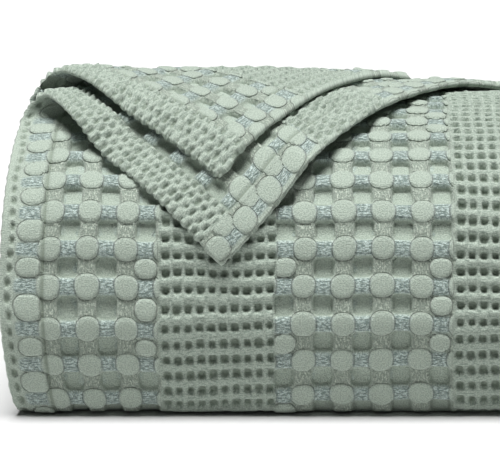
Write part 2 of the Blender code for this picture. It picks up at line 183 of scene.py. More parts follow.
# Shapes in the weave: half size across and along, how square, and how soft the edge is
POCKET = (5.7, 5.7, 4.0, 0.09)
WARP_FLOAT = (4.9, 5.0, 6.0, 0.12)
WEFT_FLOAT = (5.3, 4.4, 6.0, 0.09)
PAD = (6.5, 6.4, 2.4, 0.1)
OVAL = (6.0, 5.3, 2.3, 0.1)
HEM_OVAL = (7.6, 6.0, 2.4, 0.08)
HEM_WEFT = (7.8, 4.0, 5.0, 0.1)
NICK = (1.5, 2.4, 2.5, 0.25)

# Heights over the plain cloth
GROUND = -0.3
POCKET_TOP = -3.8  # the floor of a pocket at its upper end
POCKET_RISE = 1.3  # how much higher it is at the lower end
POCKET_SLOPE = (0.5, 6.0)
POCKET_SWELL = 0.5
SWELL_HALF = 5.6
WARP_HEIGHT = 0.2
WARP_TILT = 0.03
WEFT_HEIGHT = 1.0
WEFT_ROUND = 0.03
PAD_RIM = 1.3
PAD_SWELL = 0.4
PAD_GROOVE = 0.4
GROOVE_REACH = 1.07
GROOVE_WIDTH = 0.06
GROOVE_SHADE = 0.2
BETWEEN = 1.14  # the reach of a pad within which no oval lies
UNEVEN_PADS = 0.05
UNEVEN_OVALS = 0.08

# The small weaves of the narrow bands. Every other column is shifted by brick, in pitches; the
# ridge between two rows is uneven by knob; shift and uneven scatter the holes and their sizes.
NARROW_GROUND = 0.1
CELLS = dict(first=5.2, pitch=9.35, brick=0.0, shape=(2.0, 2.2, 3.5, 0.2),
             ridge=0.8, knob=0.35, shift=0.21, uneven=0.16, hole=-2.6)
KNOTS = dict(first=0.0, pitch=5.4, brick=0.5, shape=(2.1, 1.0, 3.0, 0.3),
             ridge=1.1, knob=0.5, shift=0.4, uneven=0.35, hole=-2.0)

# The hems
OVAL_U = 15.1
OVAL_RIM = 1.4
OVAL_SWELL = 0.5
OVAL_GROOVE = 0.6
UNEVEN_HEM = 0.1
HEM_GROUND = 0.2
HEM_WEFT_HEIGHT = 0.7
HEM_PAD_U = 16.0  # where the first pads lie over the hem's stitches
OVER_OVALS = (1.0, 1.12)  # reach of such a pad over which the ovals take its place
NICK_U = 4.0
NICK_V = 2.0
NICK_PITCH = 8.1
NICK_SCATTER = 0.7
NICK_HEIGHT = -2.0
NICK_SHADE = 0.75
END_STITCH = 16.2  # from the end edge to its line of stitches
TURNED_PADS = 3.0  # how much nearer the edge the pads of the turned hem lie
TURNED_OVALS = 3.8  # and the ovals between them, nearer still
HEM_BORDER = 0.6
HEM_THICKER = 1.0
HEM_FLATTER = 0.25
STITCH_PAST = 0.4  # how far the groove of the stitches lies past the hem
STITCH_WIDTH = 1.0
LIP = 0.8  # height of the turned edge beside its stitches
LIP_BEFORE = 1.8

# How much of the relief shows, and over which distances it comes and goes
FOOT = (2.0, 18.0)  # s at the front, above the floor
OUTER_LAYERS = (1.0, 2.6)  # layers of the pack
LEFT_END = (7.0, 13.0)
RIGHT_END = (24.0, 12.0)  # from the bundle's right end
END_SHARE = 0.35
END_REVERSE = 0.7  # of the share that the face has there
TURN_SHARE = 0.6
TURN_MARGIN = 8.0
UNDER_CORNERS = 0.75  # lost where the turned corners cover it
FLAP_LEFT = (2.0, 8.0)
FLAP_END = 6.0
BEFORE_FOLD = (-25.0, -5.0)
UP_TO_FOLD = (-20.0, 0.0)
PAST_FOLD = (5.0, 25.0)
LOWER_ROLL = 45.0  # to either side of the fold line
UPPER_ROLL = 60.0
FOLD_MARGIN = 3.0
SHOWN = 0.02  # the least share that is drawn finely
BLOCK = 8  # cells of a hidden stretch that are drawn as one
EDGE_BULGE = 0.38  # of the cloth's thickness, at its edges
EDGE_SCALLOP = 0.05
AT_EDGE = 0.01

# The photograph, in metres: scale at the front, and the camera that sees it the same way
PIXEL = 0.00055
IMAGE_WIDTH = 500
CAMERA_DISTANCE = 2.0
CAMERA_ELEVATION = math.radians(14.0)
TARGET_PIXEL = 300.0  # across, where the camera stands
TARGET_DEPTH = 0.0118  # behind the front
TARGET_HEIGHT = 0.102
SENSOR = 36.0
CLIP_END = 100.0
LEFT_END_PIXEL = 1.0  # where the bundle begins

# The light, and the floor in metres
SKY = (1.0, 1.0, 1.0, 1.0)
SKY_STRENGTH = 0.04
KEY_WAY = (0.04, 0.05, -1.0)
KEY_ANGLE = math.radians(32.0)
KEY_STRENGTH = 5.4
FLOOR_SIZE = 30.0
FLOOR_Z = -0.0004
FLOOR_COLOUR = (0.65, 0.65, 0.65, 1.0)
FLOOR_ROUGHNESS = 0.9

# The frame: the solid's lowest corner is at the left end, at the front, on the floor
FRONT = -0.26  # y of that corner
UV_SCALE = 0.01  # UV units in a millimetre of the flat cloth
BASE = 1.4  # from the cloth's middle to either side, where the weave has no relief
THINNEST = 0.5
LOWEST = 0.1  # height of the cloth's surface where it is pressed against the floor
TINY = 1e-6
SHORTEST = 1e-9  # the least length that a vector is divided by
low_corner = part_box("blanket")[0]
ORIGIN = np.array([low_corner.x, low_corner.y - FRONT * MM, 0.0])


def smooth(value, low, high):
    t = np.clip((value - low) / (high - low), 0.0, 1.0)
    return t * t * (3.0 - 2.0 * t)


# ---- the outline of the section ----

STEPS = np.hypot(*np.diff(OUTLINE, axis=0).T)
OUTLINE_S = np.concatenate([[0.0], np.cumsum(STEPS)])


def outline_slopes():
    slopes = np.empty_like(OUTLINE)
    last = len(OUTLINE) - 1
    for i in range(len(OUTLINE)):
        a, b = max(i - 1, 0), min(i + 1, last)
        slopes[i] = (OUTLINE[b] - OUTLINE[a]) / (OUTLINE_S[b] - OUTLINE_S[a])
    slopes[0] = (-1.0, 0.0)
    return slopes


SLOPES = outline_slopes()


def outline(s):
    """(depth, height) of the outer outline at s, flat on the floor before its first point."""
    i = np.clip(np.searchsorted(OUTLINE_S, s, side="right") - 1, 0, len(OUTLINE) - 2)
    span = STEPS[i]
    t = np.clip((s - OUTLINE_S[i]) / span, 0.0, 1.0)
    h1, h2 = t * t * (3 - 2 * t), t * (1 - t) * (1 - t) * span
    h3 = -t * t * (1 - t) * span
    beyond = np.maximum(s - OUTLINE_S[-1], 0.0)
    before = np.minimum(s, 0.0)
    y, z = (
        OUTLINE[i, k] * (1 - h1) + OUTLINE[i + 1, k] * h1 + SLOPES[i, k] * h2
        + SLOPES[i + 1, k] * h3 + SLOPES[-1, k] * beyond
        for k in (0, 1)
    )
    return y - before, z


def outward(s):
    """(depth, height) of the unit normal of the outline at s."""
    (y0, z0), (y1, z1) = outline(s - 1.0), outline(s + 1.0)
    length = np.hypot(y1 - y0, z1 - z0)
    return (z0 - z1) / length, (y1 - y0) / length


TOP_TABLE_S = np.linspace(OUTLINE_S[WIDEST], OUTLINE_S[-1] + TABLE_BEYOND, TABLE_POINTS)
TOP_TABLE_Y = outline(TOP_TABLE_S)[0]


def top_s(depth):
    """s of the top of the bundle at this depth."""
    return np.interp(depth, TOP_TABLE_Y, TOP_TABLE_S)


def top_height(depth):
    return outline(top_s(depth))[1]


MIDDLE_HEIGHT = 0.5 * float(top_height(MIDDLE_DEPTH))


def slot_height(depth, slot):
    """Height of a layer's middle at this depth, slots counted up from the floor."""
    top = top_height(np.maximum(depth, MIDDLE_DEPTH))
    return 0.5 * THICKNESS + slot * (top - THICKNESS) / (SLOTS - 1)


def wrapped(s, slot):
    """(depth, height) of the middle of a layer, slots counted from the outside to the centre."""
    y, z = outline(s)
    behind = y > MIDDLE_DEPTH
    half = np.where(behind, 0.5 * top_height(np.maximum(y, MIDDLE_DEPTH)), MIDDLE_HEIGHT)
    share = (0.5 * THICKNESS + slot * 2.0 * (half - 0.5 * THICKNESS) / (SLOTS - 1)) / half
    y = np.where(behind, y, MIDDLE_DEPTH + (1.0 - share) * (y - MIDDLE_DEPTH))
    return y, half + (1.0 - share) * (z - half)


# ---- the way of the pack, back and forth ----

def sections():
    """Each run, turn or last run of the pack, with where it starts and ends along the cloth."""
    bend = float(top_s(MIDDLE_DEPTH))
    rows, v, s, slot, down = [], 0.0, END_HEM, 0, True
    for depth, centre, at_top in TURNS:
        stop = float(top_s(depth)) if at_top else OUTLINE[0][0] - depth
        shorter = 0.0 if slot == 0 else bend * (slot + 0.5 * PACK) * 2.0 / SLOTS
        length = abs(stop - s) - shorter
        rows.append(dict(kind="run", v=v, end=v + length, s0=s, s1=stop, first=slot, down=down))
        v += length
        gap = (float(top_height(depth)) - THICKNESS) / (SLOTS - 1)
        turn = math.pi * (PACK - 0.5) * gap
        rows.append(dict(kind="turn", v=v, end=v + turn, depth=depth, centre=centre, top=at_top,
                         first=slot, down=down, gap=gap))
        v, s, slot, down = v + turn, stop, slot + PACK, not down
    rows.append(dict(kind="last", v=v, end=CUT_LENGTH, depth=TURNS[-1][0], first=slot, down=down))
    return rows


SECTIONS = sections()
FIRST_RUN_END = SECTIONS[0]["end"]
SECTION_ENDS = np.array([section["end"] for section in SECTIONS])


def stagger(x, v, layer):
    """How much further than the outer layer's left end the pack reaches at its outer end."""
    askew = SKEW * smooth(x, *SKEW_X) * (1.0 - smooth(v, 0.0, SKEW_REACH))
    return STAGGER * layer * (1.0 - smooth(v, 0.0, STAGGER_REACH)) - askew


def along(x, v, layer):
    """(depth, height) of the middle of this layer of the pack, and s where it is on a run."""
    y, z, s = np.zeros_like(v), np.zeros_like(v), np.zeros_like(v)
    number = np.clip(np.searchsorted(SECTION_ENDS, v), 0, len(SECTIONS) - 1)
    for i in np.unique(number):
        section, here = SECTIONS[i], number == i
        row, at = layer[here], v[here]
        length = section["end"] - section["v"]
        t = (at - section["v"]) / length
        slot = section["first"] + (row if section["down"] else PACK - 1 - row)
        if section["kind"] == "run":
            place = section["s0"] + t * (section["s1"] - section["s0"])
            if i == 0:
                place = place + stagger(x[here], at, row)
            s[here] = place
            y[here], z[here] = wrapped(place, slot)
        elif section["kind"] == "turn":
            arm = section["centre"] - slot
            angle = math.pi * t
            turned_slot = section["centre"] - arm * np.cos(angle)
            y[here] = section["depth"] + abs(arm) * section["gap"] * np.sin(angle)
            up = SLOTS - 1 - turned_slot if section["top"] else turned_slot
            z[here] = slot_height(section["depth"], up)
        else:
            depth = section["depth"] - t * length
            y[here], z[here] = depth, slot_height(depth, slot)
    return y, z, s


# ---- across the pack ----

ARC_RIGHT = math.pi * RIGHT_FOLD
ARC_SMALL = math.pi * LEFT_FOLD
RUN_OUTER = WIDTH - RIGHT_FOLD
RUN_INNER = WIDTH - RIGHT_FOLD - LEFT_FOLD
U_RIGHT = RUN_OUTER
U_FOURTH = U_RIGHT + ARC_RIGHT
U_LEFT = U_FOURTH + RUN_INNER
U_THIRD = U_LEFT + ARC_SMALL
U_SECOND_FOLD = U_THIRD + RUN_INNER
U_SECOND = U_SECOND_FOLD + ARC_SMALL
CUT_WIDTH = U_SECOND + RUN_OUTER


def across(u):
    """(x, layer of the pack) for u: out along layer 0, back along 3, out along 2, back along 1."""
    fold_x = WIDTH - RIGHT_FOLD
    x, layer = u.copy(), np.zeros_like(u)
    arcs = (
        # where it starts and ends, centre, radius, layers before and after
        (U_RIGHT, U_FOURTH, fold_x, RIGHT_FOLD, 0.0, 3.0),
        (U_LEFT, U_THIRD, LEFT_FOLD, -LEFT_FOLD, 3.0, 2.0),
        (U_SECOND_FOLD, U_SECOND, fold_x, LEFT_FOLD, 2.0, 1.0),
    )
    for start, end, centre, radius, before, after in arcs:
        angle = math.pi * np.clip((u - start) / (end - start), 0.0, 1.0)
        here = u > start
        arc_layer = 0.5 * (before + after) + 0.5 * (before - after) * np.cos(angle)
        x = np.where(here, centre + radius * np.sin(angle), x)
        beyond = np.maximum(u - end, 0.0)
        x = np.where(here, x - math.copysign(1.0, radius) * beyond, x)
        layer = np.where(here, arc_layer, layer)
    return x, layer


def left_inset(v, layer):
    """How far the left end of a layer stands in from the left end of the bundle."""
    s = END_HEM - v
    wave = WAVE * np.sin(v / WAVE_LENGTH + WAVE_SHIFT * layer)
    first_run = v < FIRST_RUN_END
    outer, second = (np.interp(s, LEFT_EDGES[:, 0], LEFT_EDGES[:, k]) for k in (1, 2))
    second = second + wave * (1.0 - smooth(s, *CALM))
    outer = np.where(first_run, outer, LATER_INSETS[0] + wave)
    second = np.where(first_run, second, LATER_INSETS[1] + wave)
    return np.where(layer < 0.5, outer, np.where(layer < 1.5, second, second - INNER_OUT))


def across_place(u, v):
    """(x, layer), with the ends of the layers as uneven as they lie."""
    x, layer = across(u)
    x = x + left_inset(v, layer) * (1.0 - smooth(x, 0.0, END_REACH))
    right = RIGHT_WAVE * (1.0 + np.sin(v / RIGHT_WAVE_LENGTH))
    return x - right * smooth(x, WIDTH - END_REACH, WIDTH), layer


# ---- the turned corners ----

def roll_radius(corner, t):
    far = smooth(t, *TAPER)
    base = corner["middle"] * (1.0 - far) + corner["far"] * far
    return base + (corner["left"] - corner["middle"]) * np.exp(-((t / corner["reach"]) ** 2))


def corner_place(corner, x, s):
    """(distance along the fold line, distance behind it)."""
    slope = math.radians(corner["slope"])
    ax, ay = math.cos(slope), math.sin(slope)
    rise = s - corner["start"]
    return x * ax + rise * ay, rise * ax - x * ay


def from_corner(corner, t, d):
    slope = math.radians(corner["slope"])
    ax, ay = math.cos(slope), math.sin(slope)
    return t * ax - d * ay, corner["start"] + t * ay + d * ax


def flap_height(corner, x, s):
    """Height over its own layer of the turned part that lies at (x, s)."""
    t, d = corner_place(corner, x, s)
    crest = 2.0 * roll_radius(corner, t)
    rest = np.minimum(corner["rest"], crest)
    falling = 1.0 - smooth(-d, corner["high"], corner["low"])
    roll = rest + (crest - rest) * falling
    puff = rest + corner["puff"] * smooth(s + LEAN * x, *PUFF)
    return np.maximum(roll, np.minimum(puff, crest))


def turned(corner, x, s):
    """(x, s, height) once the part behind the fold line is rolled over it."""
    t, d = corner_place(corner, x, s)
    radius = roll_radius(corner, t)
    half = 0.5 * math.pi * radius
    angle = np.clip((d + half) / radius, 0.0, math.pi)
    roll_x, roll_s = from_corner(corner, t, -half + radius * np.sin(angle))
    flat_x, flat_s = from_corner(corner, t, -d)
    lying = flap_height(corner, flat_x, flat_s)
    if corner["slot"] == 1:
        below = flap_height(CORNERS[0], flat_x, flat_s) + OVER
        risen = smooth(-corner_place(CORNERS[0], flat_x, flat_s)[1], *CLIMB)
        lying = lying + risen * np.maximum(below - lying, 0.0)
    still, rolling = d <= -half, d < half
    return (
        np.where(still, x, np.where(rolling, roll_x, flat_x)),
        np.where(still, s, np.where(rolling, roll_s, flat_s)),
        np.where(still, 0.0, np.where(rolling, radius * (1.0 - np.cos(angle)), lying)),
    )


# ---- folding the cloth ----

def settled(x, y, z):
    """The ends of the bundle lift from the floor and droop at the top."""
    middle = 0.5 * top_height(np.maximum(y, MIDDLE_DEPTH))
    reach = np.maximum(0.0, 1.0 - x / LIFT_REACH)
    lifted = z + END_LIFT * reach * reach * (1.0 - z / middle)
    ends = np.maximum(0.0, 1.0 - x / DROOP_REACH) ** 2
    ends = ends + np.maximum(0.0, 1.0 - (WIDTH - x) / DROOP_REACH) ** 2
    return np.where(z < middle, lifted, z - DROOP * ends * (z - middle))


def folded(u, v):
    """Where points of the flat cloth lie in the folded blanket, as an array of (x, y, z)."""
    x, layer = across_place(u, v)
    y, z, s = along(x, v, layer)
    for corner in CORNERS:
        here = (v < FIRST_RUN_END) & (abs(layer - corner["slot"]) < TINY) & (s > TURNED_S)
        if here.any():
            turned_x, turned_s, height = turned(corner, x[here], s[here])
            turned_y, turned_z = wrapped(turned_s, float(corner["slot"]))
            ny, nz = outward(turned_s)
            x[here] = turned_x
            y[here], z[here] = turned_y + ny * height, turned_z + nz * height
    return np.stack([x, y, settled(x, y, z)], axis=-1)


# ---- the relief of the weave ----

def scatter(i, j, seed):
    """A number from -1 to 1 for each cell, always the same."""
    value = np.sin(i * 12.9898 + j * 78.233 + seed * 37.719) * 43758.5453
    return 2.0 * (value - np.floor(value)) - 1.0


def bump(a, b, shape):
    """1 inside a rounded square and 0 outside it, and the reach, which is 1 along its outline."""
    half_a, half_b, power, edge = shape
    reach = (np.abs(a / half_a) ** power + np.abs(b / half_b) ** power) ** (1.0 / power)
    return 1.0 - smooth(reach, 1.0 - edge, 1.0 + edge), reach


def nearest(value, first, pitch):
    """(signed distance to the nearest line of a row of lines, that line's number)."""
    number = np.round((value - first) / pitch)
    return value - first - number * pitch, number


def blend(height, other, mask):
    return height + (other - height) * mask


def groove_at(reach):
    """1 in the groove round a pad, fading on either side."""
    return np.exp(-((reach - GROOVE_REACH) / GROOVE_WIDTH) ** 2)


def broad_band(place, v, half, in_hem, nearer=0.0):
    """Pads and pockets: (height, weft floats, warp floats, shade, reach of the nearest pad and of
    the nearest pocket). Ovals fill the pockets of a hem."""
    first_u, first_v = FIRST_POCKET + half * PAD_PITCH_U, FIRST_PAD_V + half * PAD_PITCH_V
    a_pocket, pocket_column = nearest(place, first_u, PAD_PITCH_U)
    a_pad, pad_column = nearest(place, first_u + 0.5 * PAD_PITCH_U, PAD_PITCH_U)
    b_pad, row = nearest(v, first_v, PAD_PITCH_V)
    b_pocket, pocket_row = nearest(v, first_v + 0.5 * PAD_PITCH_V, PAD_PITCH_V)
    at_edge = (pocket_column == 0.0) | (pocket_column == LAST_POCKET)
    bulging = in_hem | (at_edge & (scatter(pocket_column, pocket_row, 7.0) > BULGING))

    hollow, hollow_reach = bump(a_pocket, b_pocket, POCKET)
    hollow, hollow_reach = hollow * ~bulging, np.where(bulging, FAR, hollow_reach)
    sag = POCKET_TOP + POCKET_RISE * smooth(b_pocket, *POCKET_SLOPE)
    sag = sag + POCKET_SWELL * (1.0 - (a_pocket / SWELL_HALF) ** 2)
    height = blend(np.full_like(place, GROUND), sag, hollow)
    warp = bump(a_pad, b_pocket, WARP_FLOAT)[0]
    height = blend(height, WARP_HEIGHT + WARP_TILT * b_pocket, warp)
    weft = bump(a_pocket, b_pad, WEFT_FLOAT)[0]
    height = blend(height, WEFT_HEIGHT - WEFT_ROUND * b_pad ** 2, weft)

    size = 1.0 + UNEVEN_PADS * scatter(pad_column, row, 1.0)
    pad, reach = bump(a_pad / size, b_pad / size, PAD)
    size = 1.0 + UNEVEN_OVALS * scatter(pocket_column, pocket_row, 3.0)
    oval, oval_reach = bump(a_pocket / size, (b_pocket + nearer) / size, OVAL)
    reach = np.where(bulging & (reach > BETWEEN), np.minimum(reach, oval_reach), reach)
    pad = np.maximum(pad, oval * bulging)
    groove = groove_at(reach)
    raised = PAD_RIM + PAD_SWELL * (1.0 - reach ** 2).clip(0.0)
    height = blend(height, raised, pad) - PAD_GROOVE * groove
    hollow_reach = blend(hollow_reach, FAR, pad)
    shade = GROOVE_SHADE * groove
    return height, weft * (1.0 - pad), warp * (1.0 - pad), shade, reach, hollow_reach


def small_weave(place, v, rows):
    """Small holes between ridges: (height, reach of the nearest hole)."""
    pitch = rows["pitch"]
    a, column = nearest(place - BROAD, FIRST_CELL_U, CELL_PITCH_U)
    b, row = nearest(v + rows["brick"] * pitch * np.mod(column, 2.0), rows["first"], pitch)
    knob = scatter(column, row, 4.0)
    wide = 1.0 + rows["uneven"] * scatter(column, row, 2.0)
    hole, reach = bump(a / wide, (b - rows["shift"] * knob) / wide, rows["shape"])
    ridge = (rows["ridge"] + rows["knob"] * knob) * 0.5 * (1.0 - np.cos(2.0 * math.pi * b / pitch))
    return blend(NARROW_GROUND + ridge, rows["hole"], hole), reach


def left_hem(u, v):
    """The hem at the left end: the same tuple as a broad band's."""
    b_pad = nearest(v, FIRST_PAD_V, PAD_PITCH_V)[0]
    b_pocket, row = nearest(v, FIRST_PAD_V + 0.5 * PAD_PITCH_V, PAD_PITCH_V)
    b_nick, nick_row = nearest(v, NICK_V, NICK_PITCH)
    a_nick = u - NICK_U - NICK_SCATTER * scatter(1.0, nick_row, 6.0)
    size = 1.0 + UNEVEN_HEM * scatter(0.0, row, 5.0)
    oval, reach = bump((u - OVAL_U) / size, b_pocket / size, HEM_OVAL)
    weft = bump(u - OVAL_U, b_pad, HEM_WEFT)[0] * (1.0 - oval)
    nick = bump(a_nick, b_nick, NICK)[0]
    groove = groove_at(reach)
    raised = OVAL_RIM + OVAL_SWELL * (1.0 - reach ** 2).clip(0.0)
    height = blend(np.full_like(u, HEM_GROUND), HEM_WEFT_HEIGHT, weft)
    height = blend(height, raised, oval) - OVAL_GROOVE * groove
    height = blend(height, NICK_HEIGHT, nick)
    shade = np.maximum(GROOVE_SHADE * groove, NICK_SHADE * nick)
    return height, weft, np.zeros_like(u), shade, reach, np.full_like(u, FAR)


def wandering(a, b, wide, fine):
    """How far the yarns wander: a wide wave along a, itself wavy along b, and a fine one."""
    size, length, bend, bend_length = wide
    wave = size * np.sin(a / length + bend * np.sin(b / bend_length))
    size, length, slanted = fine
    return wave + size * np.sin(a / length + b / slanted)


def broad_side(u, v, place, reverse, end_hem):
    """The broad bands of one side of the cloth, with what its hems show: the same tuple again."""
    inner = broad_band(place, v, 0.5 if reverse else 0.0, end_hem & (not reverse))
    if reverse:
        turned_hem = broad_band(place, v + TURNED_PADS, 0.0, end_hem, TURNED_OVALS)
        return [np.where(end_hem, a, b) for a, b in zip(turned_hem, inner)]
    pad_reach = inner[4]
    over_stitches = (1.0 - smooth(pad_reach, *OVER_OVALS)) * (u > HEM_PAD_U)
    ovals = (1.0 - smooth(u, HEM - HEM_BORDER, HEM + HEM_BORDER)) * (1.0 - over_stitches)
    return [blend(a, b, ovals) for a, b in zip(inner, left_hem(u, v))]


def weave(u, v, reverse):
    """One side of the cloth: height, (weft floats, warp floats, shade), and the reach of the
    nearest pad, hole and pocket. The panel is alike on either side of its middle."""
    over, down = wandering(v, u, *WANDER_ACROSS), wandering(u, v, *WANDER_ALONG)
    end_hem = v < END_STITCH
    side_hem = (u < HEM) & ~end_hem if reverse else u > CUT_WIDTH - HEM
    sunk = SUNK * smooth(v, *SUNK_V) * (1.0 - smooth(u, *SUNK_U))
    u, v = np.minimum(u, CUT_WIDTH - u) + over, v + down - sunk
    place = np.mod(u - BAND_START, PERIOD)
    height, weft, warp, shade, pad_reach, hollow_reach = broad_side(u, v, place, reverse, end_hem)
    knots, cells = small_weave(place, v, KNOTS), small_weave(place, v, CELLS)
    small, hole_reach = (np.where(side_hem | reverse, a, b) for a, b in zip(knots, cells))
    narrow = smooth(place, BROAD - BORDER, BROAD + BORDER)
    narrow = narrow * (1.0 - smooth(place, PERIOD - BORDER, PERIOD))
    narrow = np.where(side_hem, 1.0, narrow)
    reaches = (blend(pad_reach, FAR, narrow), blend(FAR, hole_reach, narrow),
               blend(hollow_reach, FAR, narrow))
    look = (weft * (1.0 - narrow), warp * (1.0 - narrow), shade * (1.0 - narrow))
    return blend(height, small, narrow), look, reaches


def hem_share(u, v):
    """1 within the hems and 0 elsewhere, and the distance past the line of stitches."""
    end = np.minimum(v, CUT_LENGTH - v) + HEM - END_STITCH
    edge = np.minimum(np.minimum(u, CUT_WIDTH - u), end)
    return 1.0 - smooth(edge, HEM - HEM_BORDER, HEM + HEM_BORDER), edge - HEM


# ---- the patches of cloth ----

def lines(first, last, pitch):
    """Evenly spaced values, with whole blocks of steps between them."""
    count = max(1, round((last - first) / pitch / BLOCK)) * BLOCK
    return np.linspace(first, last, count + 1)


def padded(values):
    """The lines with one more at each end."""
    return np.concatenate([[2 * values[0] - values[1]], values, [2 * values[-1] - values[-2]]])


def unit(vectors):
    return vectors / np.maximum(np.linalg.norm(vectors, axis=-1, keepdims=True), SHORTEST)


def grid_normals(points):
    """Unit normals of a padded grid's inner points, pointing out of the cloth's face."""
    du = points[1:-1, 2:] - points[1:-1, :-2]
    dv = points[2:, 1:-1] - points[:-2, 1:-1]
    return unit(np.cross(dv, du))


def at_least(share, where, other):
    """The share, but there no less than the other one."""
    return np.where(where, np.maximum(share, other), share)


def shown_at_turns(x, v, outer, fourth):
    """How much shows where the pack turns at the back."""
    most = np.zeros_like(v)
    for section in SECTIONS:
        if section["kind"] == "turn":
            bare = SKEW * smooth(x, *SKEW_X) if section["top"] else 0.0
            start, end = section["v"] - bare, section["end"]
            near = smooth(v, start - TURN_MARGIN, start) * (1.0 - smooth(v, end, end + TURN_MARGIN))
            most = np.maximum(most, TURN_SHARE * near * (fourth if section["top"] else outer))
    return most


def under_corners(places):
    """How much the turned corners hide of what lies at these places by their fold lines."""
    covered = 0.0
    for corner, (t, d) in zip(CORNERS, places):
        over_x, over_s = from_corner(corner, t, -d)
        past = over_s - END_HEM - stagger(over_x, 0.0, 0.0)
        under = smooth(over_x, *FLAP_LEFT) * (1.0 - smooth(past, -FLAP_END, 0.0))
        covered = np.maximum(covered, under * (d < 0.0))
    return covered


def exposure(u, v):
    """How much of the weave's relief the face and the reverse of the cloth show at each point, and
    whether the cloth rolls over a fold there."""
    x, layer = across_place(u, v)
    s = along(x, v, layer)[2]
    first_run = v < FIRST_RUN_END
    top = first_run & (s > TURNED_S)
    places = [corner_place(corner, x, s) for corner in CORNERS]
    d_lower, d_upper = places[0][1], places[1][1]
    outer, fourth = u <= U_FOURTH, (u > U_FOURTH) & (u <= U_LEFT)
    third, second = (u > U_LEFT) & (u <= U_SECOND_FOLD), u > U_SECOND
    outermost, outside = layer < TINY, 1.0 - smooth(layer, *OUTER_LAYERS)

    right = outside * outer * smooth(x, WIDTH - RIGHT_END[0], WIDTH - RIGHT_END[1])
    ends = END_SHARE * np.maximum(1.0 - smooth(x, *LEFT_END), right)
    front = smooth(s, *FOOT) * outside * (outer & first_run)
    front = front * (1.0 - UNDER_CORNERS * under_corners(places))
    front = front * (1.0 - UNDER_CORNERS * top * smooth(d_lower, *PAST_FOLD))
    face = np.maximum(np.maximum(front, ends), shown_at_turns(x, v, outer, fourth))
    face = at_least(face, third & top, smooth(d_upper, *BEFORE_FOLD))
    face = at_least(face, second & top, smooth(d_upper, *UP_TO_FOLD))

    reverse = END_REVERSE * ends * (x < 0.5 * WIDTH)
    reverse = at_least(reverse, outermost & top, smooth(d_lower, *UP_TO_FOLD))
    between = smooth(d_lower, *BEFORE_FOLD) * (1.0 - smooth(d_upper, *PAST_FOLD))
    reverse = at_least(reverse, second & top, between)
    rolls = (outermost & (abs(d_lower) < LOWER_ROLL)) | (second & (abs(d_upper) < UPPER_ROLL))
    rolls = (rolls & top) | (u > U_SECOND_FOLD - FOLD_MARGIN) & (u < U_SECOND + FOLD_MARGIN)
    return face, reverse, rolls


def face_cells(fine, first_index, flip):
    """Faces over a grid: its cells where it is fine, and one fan for each hidden block."""
    rows, columns = fine.shape
    index = first_index + np.arange((rows + 1) * (columns + 1)).reshape(rows + 1, columns + 1)
    coarse = ~fine.reshape(rows // BLOCK, BLOCK, columns // BLOCK, BLOCK).any(axis=(1, 3))
    drawn = ~np.kron(coarse, np.ones((BLOCK, BLOCK), bool))
    cells = np.stack([index[:-1, :-1], index[1:, :-1], index[1:, 1:], index[:-1, 1:]], axis=-1)
    quads = cells[drawn]
    border = np.pad(coarse, 1)
    fans = []
    for r, c in np.argwhere(coarse):
        top, left = r * BLOCK, c * BLOCK
        sides = (
            # whether the neighbour is a hidden block too, and the grid points along the side
            (border[r + 1, c], index[top:top + BLOCK + 1, left]),
            (border[r + 2, c + 1], index[top + BLOCK, left:left + BLOCK + 1]),
            (border[r + 1, c + 2], index[top:top + BLOCK + 1, left + BLOCK][::-1]),
            (border[r, c + 1], index[top, left:left + BLOCK + 1][::-1]),
        )
        ring = [p for hidden, points in sides for p in (points[:1] if hidden else points[:-1])]
        middle = index[top + BLOCK // 2, left + BLOCK // 2]
        fans += [(middle, a, b) for a, b in zip(ring, ring[1:] + ring[:1])]
    fans = np.array(fans, int).reshape(-1, 3)
    return (quads[:, ::-1], fans[:, ::-1]) if flip else (quads, fans)


def rim_of(rows, columns):
    """(row, column) of the grid's outermost points, once round."""
    down = [(r, 0) for r in range(rows - 1)]
    along_end = [(rows - 1, c) for c in range(columns - 1)]
    up = [(r, columns - 1) for r in range(rows - 1, 0, -1)]
    back = [(0, c) for c in range(columns - 1, 0, -1)]
    return np.array(down + along_end + up + back)


def edge_points(middle, thickness, ring, u, v):
    """The middle line of the rim and its normals, bulging where it is an edge of the cloth."""
    r, c = ring[:, 0] + 1, ring[:, 1] + 1
    rows, columns = u.shape
    along_v = unit(middle[r + 1, c] - middle[r - 1, c])
    across_u = unit(middle[r, c + 1] - middle[r, c - 1])
    way = along_v * ((r == rows).astype(float) - (r == 1))[:, None]
    way = unit(way + across_u * ((c == columns).astype(float) - (c == 1))[:, None])
    at_u, at_v = u[r - 1, c - 1], v[r - 1, c - 1]
    free = (at_u < AT_EDGE) | (at_u > CUT_WIDTH - AT_EDGE)
    free = free | (at_v < AT_EDGE) | (at_v > CUT_LENGTH - AT_EDGE)
    scallop = np.cos(2.0 * math.pi * (at_u / CELL_PITCH_U + at_v / CELLS["pitch"]))
    bulge = (EDGE_BULGE + EDGE_SCALLOP * scallop) * thickness[r, c] * free
    return middle[r, c] + way * bulge[:, None], way


